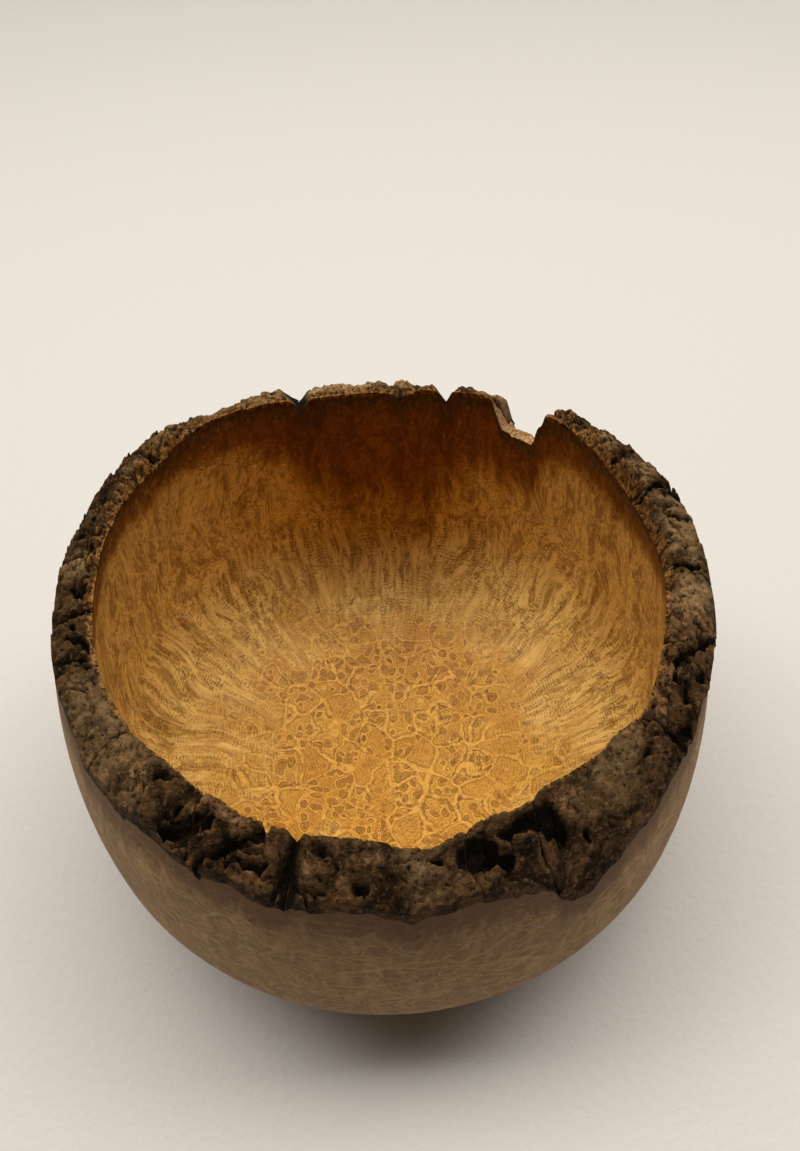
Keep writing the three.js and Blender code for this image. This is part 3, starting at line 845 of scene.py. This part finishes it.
# Noises in the burl as (name, coordinates, size in millimetres, detail, roughness, distortion)
WOOD_NOISES = (
    ("fibre", "curly", 0.6, 3, 0.6, 0), ("cloud", "bent", 16, 3, 0.5, 0),
    ("swirl", "curly", 2.4, 2, 0.5, 1.5), ("ring_waver", "curly", 2.2, 2, 0.5, 0),
    ("streak", "combed", 1.8, 2, 0.55, 0), ("hair", "combed", 0.75, 2, 0.6, 0),
    ("broad", "combed", 6, 2, 0.5, 0), ("flame", "flamed", 2.8, 3, 0.6, 0.8),
    ("tuft", "tufted", 0.8, 3, 0.65, 0.6), ("waver", "place", 4, 2, 0.5, 0),
    ("dash", "dashed", 0.9, 1, 0.5, 0), ("ripple_patch", "flamed", 4.5, 2, 0.6, 0),
    ("arch_patch", "flamed", 7, 1, 0.5, 0), ("group_patch", "bent", 8, 1, 0.5, 0),
    ("drift", "place", 14, 2, 0.5, 0), ("turn_patch", "place", 19, 2, 0.5, 0),
    ("red_and_shade_edge", "combed", 5, 2, 0.5, 0), ("stain_reach", "combed", 1.6, 4, 0.6, 0),
    ("crumb", "place", 0.8, 4, 0.7, 0),
)

# Sizes in the floor, in millimetres: the groups of eyes, the eyes and the pin eyes
GROUP_SIZE, EYE_SIZE, PIN_SIZE = 8.5, 3.2, 1.4

# Lines round an eye as (part of its radius, what is added to it, half width), in eye sizes: the
# pale halo, the ring and the core
HALO, RING, CORE = (1, 0.12, 0.08), (1, 0, 0.055), (0.55, 0, 0.05)


def burl_wood(tones):
    """Burl, turned and oiled. Where it is cut across it shows ringed eyes between pale bands of
    fibre, in the turn of the wall long pale streaks with ripple between them, and higher up
    arched flames. It is satin inside, duller and browner outside, and stained under the bark.
    Near the bark it is darker and more red. At the back that band reaches far down the inner
    wall as painted shade, the shadow of the back rim. Below the band the wall is made fairer,
    partly as painted light."""
    material, tree = new_material("oiled_burl")
    place = in_millimetres(tree)
    climb, outside, below, raw, stain_reach, redder_and_shade_reach = (
        add(tree, "Attribute", attribute_name=name, output="Fac") for name in (
            "climb", "outside", "below_edge", "raw_wood", "stain_reach", "redder_and_shade_reach"))

    # The burl grows upwards, so its eyes are drawn out along the inner wall. On the outer wall
    # they lie flat and wide, and are fainter.
    growth, spread, fainter, red_and_shade_strength = (
        add(tree, "Math", outside, slope, start, operation="MULTIPLY_ADD")
        for slope, start in ((0.66, 0.34), (-0.45, 1), (-0.1, 1), (-0.6, 0.85)))
    stretch = add(tree, "CombineXYZ", spread, spread, growth)
    bent = shifted(tree, add(tree, "VectorMath", place, stretch, operation="MULTIPLY"), 14, 6.0)
    curly = shifted(tree, bent, 4.2, 3.0)

    # On the wall, figure runs up it, and is as wide near the floor as it is at the belly. Each
    # kind is drawn out along its run by its own number of times.
    heading = add(tree, "VectorMath", place, (1, 1, 0), operation="MULTIPLY")
    heading = add(tree, "VectorMath", heading, operation="NORMALIZE")
    heading = add(tree, "VectorMath", heading, EVEN_RADIUS, operation="SCALE")
    heading = shifted(tree, heading, 26, 13.0, at=place)
    streaked, arched, tufted, dashed = (
        add(tree, "VectorMath", climb, (0, 0, 1 / times), heading, operation="MULTIPLY_ADD")
        for times in (8, 3.2, 2, 1.6))
    combed = shifted(tree, streaked, 4, 0.9)
    flamed = shifted(tree, arched, 3, 1.6, 2.0)
    places = {"place": place, "bent": bent, "curly": curly, "combed": combed, "flamed": flamed,
              "tufted": tufted, "dashed": dashed}
    noise = {name: add(tree, "TexNoise", places[where], 1 / size, detail, rough,
                       Distortion=distortion)
             for name, where, size, detail, rough, distortion in WOOD_NOISES}

    # Floor, turn and wall run into each other
    drift = add(tree, "Math", noise["drift"], DRIFT, climb, operation="MULTIPLY_ADD")
    inside = share(tree, outside, 0.2, 0.05)
    on_wall = share(tree, drift, *WALL_FROM, share(tree, outside, 0.2, 0.05, least=0.25))
    in_turn = share(tree, drift, *TURN_FROM, share(tree, drift, *TURN_TO),
                    share(tree, noise["turn_patch"], 0.38, 0.56, least=0.35))
    on_floor = add(tree, "Math", on_wall, -0.7, 1.0, operation="MULTIPLY_ADD")
    on_floor = add(tree, "Math", on_floor, fainter, operation="MULTIPLY")

    # Pale bands round groups of eyes. A group holds eyes, pin eyes or only fibre.
    group = add(tree, "TexVoronoi", curly, 1 / GROUP_SIZE, feature="DISTANCE_TO_EDGE")
    eyes_chance, pins_chance = cells(tree, curly, GROUP_SIZE)[1:]
    has_eyes = share(tree, eyes_chance, 0.04, 0.10)
    shown = share(tree, noise["group_patch"], 0.32, 0.56)
    from_line = add(tree, "Math", group, 0.085, operation="SUBTRACT")
    from_line = add(tree, "Math", from_line, operation="ABSOLUTE")
    eye, eye_width, eye_chance = cells(tree, curly, EYE_SIZE, 0.75)
    radius = add(tree, "Math", eye_width, 0.26, 0.26, operation="MULTIPLY_ADD")
    within = add(tree, "Math", eye, radius, operation="SUBTRACT")
    there = share(tree, eye_chance, 0.08, 0.14, has_eyes, share(tree, pins_chance, 0.90, 0.84))
    lines = []
    for part, more, half_width in (HALO, RING, CORE):
        middle = add(tree, "Math", radius, part, more, operation="MULTIPLY_ADD")
        away = add(tree, "Math", eye, middle, operation="SUBTRACT")
        away = add(tree, "Math", away, operation="ABSOLUTE")
        lines.append(share(tree, away, half_width, half_width * 0.2, there, on_floor))
    halo, ring, core = lines
    pin, pin_chance, _ = cells(tree, curly, PIN_SIZE, 0.9)
    pin_there = share(tree, pin_chance, 0.2, 0.4, share(tree, pins_chance, 0.84, 0.90), has_eyes)
    growth_rings = waves(tree, group, 85.0, noise["ring_waver"], 14.0)

    # Ripple: short dark dashes across the streaks, drawn a little coarser than the real 0.7 mm
    rows = waves(tree, climb, 6.0, noise["waver"], 22.0)
    rare = add(tree, "Math", in_turn, 0.45, 0.55, operation="MULTIPLY_ADD")
    ripple = share(tree, rows, -0.2, 0.7, share(tree, noise["dash"], 0.42, 0.50),
                   share(tree, noise["ripple_patch"], 0.42, 0.52), rare)

    # Nested arches where eyes are cut lengthwise
    arches = waves(tree, cells(tree, flamed, 4.4)[0], 30.0, noise["waver"], 3.0)
    arches = share(tree, arches, 0.1, 0.95, share(tree, noise["arch_patch"], 0.40, 0.56), on_wall)

    # Near the bark the wood is darker and redder. At the back this band reaches far down the wall
    # as painted shade, the shadow of the back rim. Below it the wall is fairer, partly as painted
    # light where the lamp reaches the lower wall.
    depth = add(tree, "Math", below, redder_and_shade_reach, operation="DIVIDE")
    depth = add(tree, "Math", noise["red_and_shade_edge"], 0.5, depth, operation="MULTIPLY_ADD")
    fairer_and_lit_wall = share(tree, depth, 0.65, 1.25, on_wall)
    redder_and_painted_shade = share(tree, depth, 1.25, 0.65, red_and_shade_strength)

    mid, light, pale, dark, line, fair_and_lit, stain = (
        add(tree, "Mix", outside, linear(inner), linear(outer), data_type="RGBA")
        for inner, outer in (
            (tones.wood_mid, tones.outside_mid), (tones.wood_light, tones.outside_light),
            (tones.wood_pale, tones.outside_pale), (tones.wood_dark, tones.outside_dark),
            (tones.wood_line, tones.outside_dark), (tones.wood_fair_and_lit, tones.outside_pale),
            (tones.wood_stain, tones.outside_stain)))
    colour = layered(tree, mid, (
        (share(tree, noise["cloud"], 0.36, 0.62), light, 1),
        (share(tree, noise["swirl"], 0.50, 0.36), dark, 0.3),
        (share(tree, noise["swirl"], 0.54, 0.68), pale, 0.3),
        (share(tree, noise["fibre"], 0.48, 0.30), line, 0.4),
        (share(tree, noise["fibre"], 0.54, 0.70), pale, 0.35),
        (share(tree, growth_rings, 0.1, 1.0, on_floor, inside), line, 0.26),
        (share(tree, group, 0.03, 0.22, on_floor), dark, 0.24),
        (share(tree, within, 0.05, -0.12, there, on_floor), dark, 0.38),
        (halo, pale, 0.5),
        (ring, line, 0.7),
        (core, line, 0.56),
        (share(tree, pin, 0.42, 0.2, pin_there, on_floor), line, 0.5),
        (share(tree, from_line, 0.045, 0.009, shown, on_floor), line, 0.46),
        (share(tree, group, 0.055, 0.0, shown, on_floor), pale, 0.5),
        # Painted light, in part: the lower wall is made fairer below the darker band, standing for
        # the lamp's light below the rim's shadow
        (fairer_and_lit_wall, fair_and_lit, 0.66),
        (share(tree, noise["broad"], 0.50, 0.36, on_wall), dark, 0.35),
        (share(tree, noise["flame"], 0.49, 0.39, on_wall), dark, 0.58),
        (share(tree, noise["flame"], 0.52, 0.62, on_wall), pale, 0.45),
        (share(tree, noise["flame"], 0.51, 0.60, fairer_and_lit_wall), fair_and_lit, 0.5),
        (arches, line, 0.32),
        (share(tree, noise["tuft"], 0.50, 0.34, on_wall), line, 0.62),
        (share(tree, noise["streak"], 0.47, 0.37, in_turn), dark, 0.42),
        (ripple, line, 0.72),
        (share(tree, noise["streak"], 0.53, 0.62, in_turn), fair_and_lit, 0.55),
        (share(tree, noise["hair"], 0.56, 0.68, in_turn), fair_and_lit, 0.5),
    ))
    # Painted shade at the back: the darker, redder band there ends where the back rim's shadow
    # ends
    colour = add(tree, "Mix", redder_and_painted_shade, colour, linear(tones.wood_red_and_shade), data_type="RGBA",
                 blend_type="MULTIPLY")

    # Torn edge and bark, stain under the bark, dark specks outside, and broken wood
    turning = border(tree, place, add(tree, "Math", below, -1.0, operation="MULTIPLY"))
    reach = add(tree, "Math", below, stain_reach, operation="DIVIDE")
    reach = add(tree, "Math", noise["stain_reach"], 1.8, reach, operation="MULTIPLY_ADD")
    specks = share(tree, cells(tree, place, 9)[0], 0.06, 0.035, share(tree, outside, 0.8, 1.0))
    broken = layered(tree, linear(tones.broken_dark), [
        (share(tree, noise["crumb"], 0.35, 0.65), linear(tones.broken_light), 1)])
    colour = layered(tree, colour, (
        (share(tree, turning, -1, 0, inside), torn_edge(tree, place, tones), 1),
        (share(tree, turning, 0.2, 1.0, inside), linear(tones.bark_mid), 0.8),
        (share(tree, reach, 2.2, 0.9), stain, 0.8),
        (specks, linear(tones.wood_stain), 0.8),
        (raw, broken, 1),
    ))

    relief = add(tree, "Math", noise["fibre"], 0.35, operation="MULTIPLY")
    relief = add(tree, "Math", ripple, -0.5, relief, operation="MULTIPLY_ADD")
    torn = add(tree, "Math", noise["crumb"], 6.0, operation="MULTIPLY")
    relief = add(tree, "Math", torn, raw, relief, operation="MULTIPLY_ADD")
    polish = share(tree, noise["fibre"], 0.3, 0.7, least=0.44, most=0.56)
    polish = add(tree, "Math", raw, 0.35, polish, operation="MULTIPLY_ADD")
    polish = add(tree, "Math", outside, 0.12, polish, operation="MULTIPLY_ADD")
    surfaced(tree, colour, polish, relief, 0.00006, 0.9, 0.12)
    return material


def burl_bark(tones):
    """Old bark of a burl, dried and weathered: dull, dark brown to grey, black in its cracks,
    tan where it has bleached and reddish where its inner layers are laid open. The black in its
    pits, cracks, fissures and underside is partly painted shade, laid on by how far down each
    point lies."""
    material, tree = new_material("weathered_burl_bark")
    place = in_millimetres(tree)
    bent = shifted(tree, place, 4, 2.5, 2.0)
    broad, fine, grit = (
        add(tree, "TexNoise", where, 1 / size, detail, rough)
        for where, size, detail, rough in (
            (bent, 6, 3, 0.6), (bent, 1.4, 4, 0.65), (place, 0.45, 3, 0.7)))
    painted_shade_depth, weathered, reddened, from_edge = (
        add(tree, "Attribute", attribute_name=name, output="Fac")
        for name in ("painted_shade_depth", "weathered", "reddened", "from_edge"))
    inner_bark = layered(tree, linear(tones.bark_rust), [
        (share(tree, fine, 0.35, 0.65), linear(tones.bark_orange), 1)])
    turning = border(tree, place, from_edge)
    # Painted shade: pits, cracks, the fissures between plates and the undersides go black by how
    # far down they lie
    painted_crevice_shade = add(tree, "Math", fine, -0.3, painted_shade_depth, operation="MULTIPLY_ADD")
    colour = layered(tree, linear(tones.bark_dark), (
        (share(tree, broad, 0.38, 0.62), linear(tones.bark_mid), 1),
        (share(tree, fine, 0.52, 0.72), linear(tones.bark_grey), 0.7),
        (share(tree, fine, 0.32, 0.55, weathered, least=0.45), linear(tones.bark_tan), 1),
        (share(tree, broad, 0.36, 0.56, reddened, least=0.25), inner_bark, 1),
        (share(tree, grit, 0.62, 0.74), linear(tones.bark_tan), 0.25),
        (share(tree, turning, 1.5, 0.6), torn_edge(tree, place, tones), 1),
        (share(tree, fine, 0.46, 0.32), linear(tones.bark_black_and_shade), 0.9),
        (share(tree, painted_crevice_shade, 0.05, 0.55), linear(tones.bark_black_and_shade), 0.95),
    ))
    relief = add(tree, "Math", grit, 0.6, operation="MULTIPLY")
    relief = add(tree, "Math", fine, 1.4, relief, operation="MULTIPLY_ADD")
    dullness = share(tree, fine, 0.3, 0.7, least=0.98, most=0.8)
    surfaced(tree, colour, dullness, relief, 0.0008, 0.8, 0.08)
    return material


def drawing_paper(tones):
    """Rough drawing paper: matt, pale and slightly warm, with a fine tooth"""
    material, tree = new_material("rough_paper")
    tooth = add(tree, "TexNoise", in_millimetres(tree), 1 / 2.6, 3.0, 0.55)
    surfaced(tree, linear(tones.paper), 0.9, tooth, 0.0007, 0.6, 0.2)
    return material


# Settings

def length(name, description, millimetres):
    return bpy.props.FloatProperty(name=name, description=description, default=millimetres * MM,
                                   min=0, unit="LENGTH", precision=4)


def tone(name, description, hex_colour):
    return bpy.props.StringProperty(name=name, description=description, default=hex_colour,
                                    maxlen=6)


class BowlSizes(bpy.types.PropertyGroup):
    """Sizes of the turned form"""
    foot_radius: length("Foot radius", "Radius of the flat foot", 30)
    belly_height: length("Belly height", "Height of the widest place", 48)
    belly_radius: length("Belly radius", "Outer radius at the widest place", 83.5)
    belly_fullness: bpy.props.FloatProperty(
        name="Belly fullness", description="2 gives an elliptic lower wall, less a leaner one",
        default=1.65, min=1.2, max=4)
    rim_height: length("Rim height", "Height of the rim plane over the foot", 104)
    mouth_radius: length("Mouth radius", "Inner radius in the rim plane", 66)
    rim_width: length("Rim width", "Thickness of the wall in the rim plane", 8.8)
    belly_wall: length("Belly wall", "Thickness of the wall at the belly", 10.5)
    floor_thickness: length("Floor thickness", "Thickness of the wood over the foot", 11)
    floor_flatness: bpy.props.FloatProperty(
        name="Floor flatness", description="2 gives a round floor, more gives a flatter one",
        default=2.4, min=2, max=6)
    bark_thickness: length("Bark thickness", "Thickness of the bark at the outer wall", 3.4)


class BowlTones(bpy.types.PropertyGroup):
    """Colours in sRGB, as six hexadecimal digits"""
    wood_mid: tone("Wood", "Ground colour of the burl", "CA9034")
    wood_light: tone("Light wood", "Light streaks of the burl", "D9A244")
    wood_pale: tone("Pale bands", "Bands of fibre between the eyes", "E6B256")
    # Used for real fair streaks, and also to make the lower wall fairer as painted light
    wood_fair_and_lit: tone("Fair streaks", "Long fibres in the wall of the bowl", "F2CA76")
    wood_dark: tone("Dark wood", "Dark streaks of the burl", "8E5E20")
    wood_line: tone("Eye lines", "Outlines of the eyes and the ripple", "693F14")
    # At the back this tint also paints the shadow of the back rim on the inner wall
    wood_red_and_shade: tone("Reddish wood", "Tint of the wood near the bark", "A0764A")
    wood_stain: tone("Stained wood", "Wood right under the bark", "3E2412")
    outside_mid: tone("Outer wood", "Ground colour of the outer wall", "8F6B42")
    outside_light: tone("Light outer wood", "Light clouds of the outer wall", "A47E4B")
    outside_pale: tone("Pale outer bands", "Bands of fibre on the outer wall", "C29E6C")
    outside_dark: tone("Dark outer wood", "Eyes and streaks of the outer wall", "634321")
    outside_stain: tone("Stained outer wood", "Outer wall right under the bark", "634629")
    edge_light: tone("Torn edge, light", "Fibre where wood turns into bark", "A0723C")
    edge_dark: tone("Torn edge, dark", "Hollows where wood turns into bark", "3A2210")
    broken_dark: tone("Broken wood, dark", "Hollows of the broken wood", "7A5434")
    broken_light: tone("Broken wood, light", "Fresh edges of the broken wood", "D2A878")
    bark_dark: tone("Dark bark", "Ground colour of the bark", "271A0D")
    bark_mid: tone("Brown bark", "Brown areas of the bark", "5A4026")
    bark_grey: tone("Grey bark", "Grey weathered skin of the bark", "755E40")
    # Black of the bark, also used as painted shade in pits, cracks and under the plates
    bark_black_and_shade: tone("Cracks", "Depth of the cracks and pits", "0A0603")
    bark_tan: tone("Tan bark", "Bleached bark", "AF8D60")
    bark_rust: tone("Rusty bark", "Dark inner layers of the bark", "623F22")
    bark_orange: tone("Orange bark", "Light inner layers of the bark", "9E7850")
    paper: tone("Paper", "Paper under the bowl", "D9D5CF")


# Operators

def stand_in(piece, node_name, material):
    """Let a piece take the place of a solid: give it a material, hide the solid and attach the
    piece to the root body
    """
    piece.data.materials.append(material)
    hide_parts(node_name)
    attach(piece, "root")


class BOWL_OT_turned_body(bpy.types.Operator):
    """Make the turned wood of the bowl"""
    bl_idname = "bowl.turned_body"
    bl_label = "Turned body"

    def execute(self, context):
        piece = turned_body(Form(context.scene.bowl_sizes))
        stand_in(piece, "bowl_body", burl_wood(context.scene.bowl_tones))
        return {"FINISHED"}


class BOWL_OT_bark_plates(bpy.types.Operator):
    """Make the bark plates on the natural edge"""
    bl_idname = "bowl.bark_plates"
    bl_label = "Bark plates"

    def execute(self, context):
        form = Form(context.scene.bowl_sizes)
        material = burl_bark(context.scene.bowl_tones)
        for name, start, span in PLATES:
            stand_in(bark_plate(form, name, start, span), name, material)
        return {"FINISHED"}


class BOWL_OT_stage(bpy.types.Operator):
    """Make the paper, the light and the camera"""
    bl_idname = "bowl.stage"
    bl_label = "Paper, light and camera"

    def execute(self, context):
        scene = context.scene
        scene.view_settings.view_transform = "Standard"
        paper = bpy.data.meshes.new("paper")
        corners = [(x * PAPER_REACH, y * PAPER_REACH, 0)
                   for x, y in ((-1, -1), (1, -1), (1, 1), (-1, 1))]
        paper.from_pydata(corners, [], [(0, 1, 2, 3)])
        paper.materials.append(drawing_paper(scene.bowl_tones))
        floor = bpy.data.objects.new("paper", paper)
        scene.collection.objects.link(floor)

        scene.world = bpy.data.worlds.new("pale_room")
        scene.world.use_nodes = True
        room = scene.world.node_tree.nodes["Background"]
        room.inputs["Color"].default_value = linear(ROOM_COLOUR)
        room.inputs["Strength"].default_value = ROOM_LIGHT

        lamp = bpy.data.lights.new("soft_box", "AREA")
        lamp.shape = "RECTANGLE"
        lamp.size = SOFT_BOX_WIDTH
        lamp.size_y = SOFT_BOX_DEPTH
        lamp.energy = SOFT_BOX_POWER
        lamp.color = linear(SOFT_BOX_COLOUR)[:3]
        holder = bpy.data.objects.new("soft_box", lamp)
        holder.location = SOFT_BOX_PLACE
        scene.collection.objects.link(holder)

        pitch, yaw, roll = (math.radians(angle) for angle in (LOOKS_DOWN, LOOKS_ASIDE, LEANS))
        forward = Vector((math.sin(yaw) * math.cos(pitch), math.cos(yaw) * math.cos(pitch),
                          -math.sin(pitch)))
        level_right = Vector((math.cos(yaw), -math.sin(yaw), 0))
        level_up = level_right.cross(forward)
        right = level_right * math.cos(roll) + level_up * math.sin(roll)
        up = level_up * math.cos(roll) - level_right * math.sin(roll)
        lens = bpy.data.cameras.new("camera")
        lens.sensor_width = SENSOR
        lens.lens = LENS
        lens.clip_end = 20
        camera = bpy.data.objects.new("camera", lens)
        facing = Matrix((right, up, -forward)).transposed().to_4x4()
        camera.matrix_world = Matrix.Translation(CAMERA_PLACE) @ facing
        scene.collection.objects.link(camera)
        scene.camera = camera
        return {"FINISHED"}


class BOWL_PT_panel(bpy.types.Panel):
    """Lists what the bowl is made with"""
    bl_label = "Natural edge bowl"
    bl_idname = "BOWL_PT_panel"
    bl_space_type = "VIEW_3D"
    bl_region_type = "UI"
    bl_category = "Bowl"

    def draw(self, context):
        for maker in MAKERS:
            self.layout.operator(maker.bl_idname)
        for group in (context.scene.bowl_sizes, context.scene.bowl_tones):
            for name in group.__annotations__:
                self.layout.prop(group, name)


MAKERS = (BOWL_OT_turned_body, BOWL_OT_bark_plates, BOWL_OT_stage)
CLASSES = (BowlSizes, BowlTones, *MAKERS, BOWL_PT_panel)


def register():
    for listed in CLASSES:
        bpy.utils.register_class(listed)
    bpy.types.Scene.bowl_sizes = bpy.props.PointerProperty(type=BowlSizes)
    bpy.types.Scene.bowl_tones = bpy.props.PointerProperty(type=BowlTones)


def unregister():
    del bpy.types.Scene.bowl_tones
    del bpy.types.Scene.bowl_sizes
    for listed in reversed(CLASSES):
        bpy.utils.unregister_class(listed)


def main():
    register()
    bpy.ops.bowl.stage()
    bpy.ops.bowl.turned_body()
    bpy.ops.bowl.bark_plates()


if __name__ == "__main__":
    main()
